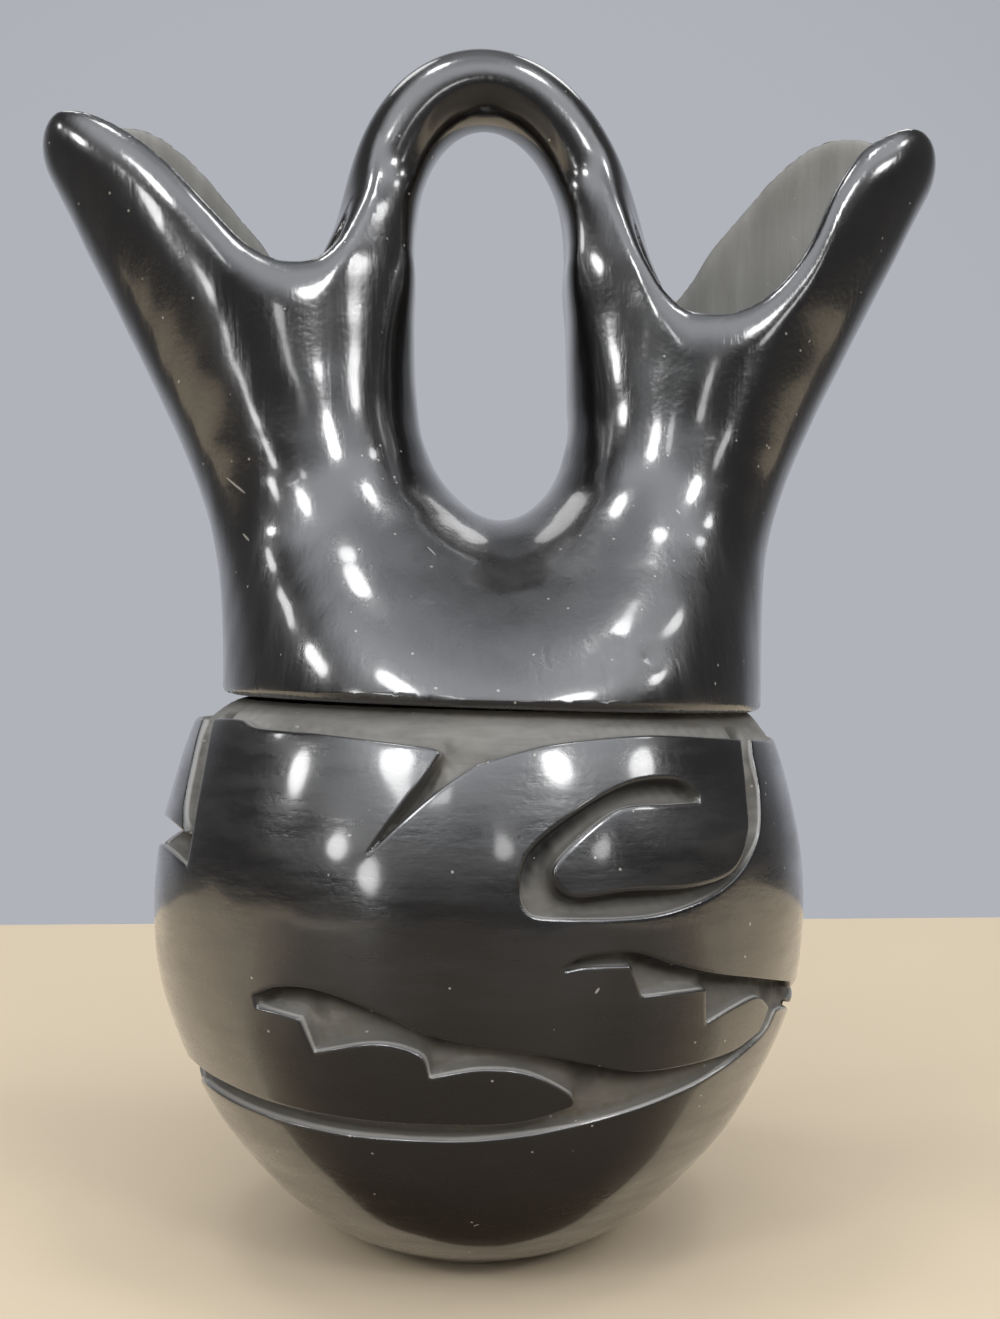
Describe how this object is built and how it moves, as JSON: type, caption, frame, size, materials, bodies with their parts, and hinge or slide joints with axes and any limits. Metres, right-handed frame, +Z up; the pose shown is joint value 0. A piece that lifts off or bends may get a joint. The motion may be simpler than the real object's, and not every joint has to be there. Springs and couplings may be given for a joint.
{
  "type": "wedding vase",
  "caption": "Burnished blackware wedding vase: a round carved pot on a small foot, with a collar that parts into flared open spouts joined by an arched stirrup handle.",
  "frame": {"origin": "middle of the flat foot", "axes": "+Z up through the finger hole, +X to the right-hand spout, -Y to the carved front"},
  "size_m": [0.1809, 0.1272, 0.2349],
  "materials": {
    "burnished_clay": "burnished",
    "carved_clay": "burnished, with a matte ground in the carving"
  },
  "bodies": {
    "root": {"base_bowl": "burnished_clay", "belly_wall": "carved_clay", "shoulder": "burnished_clay", "left_spout": "burnished_clay", "right_spout": "burnished_clay", "handle": "burnished_clay"}
  },
  "joints": []
}
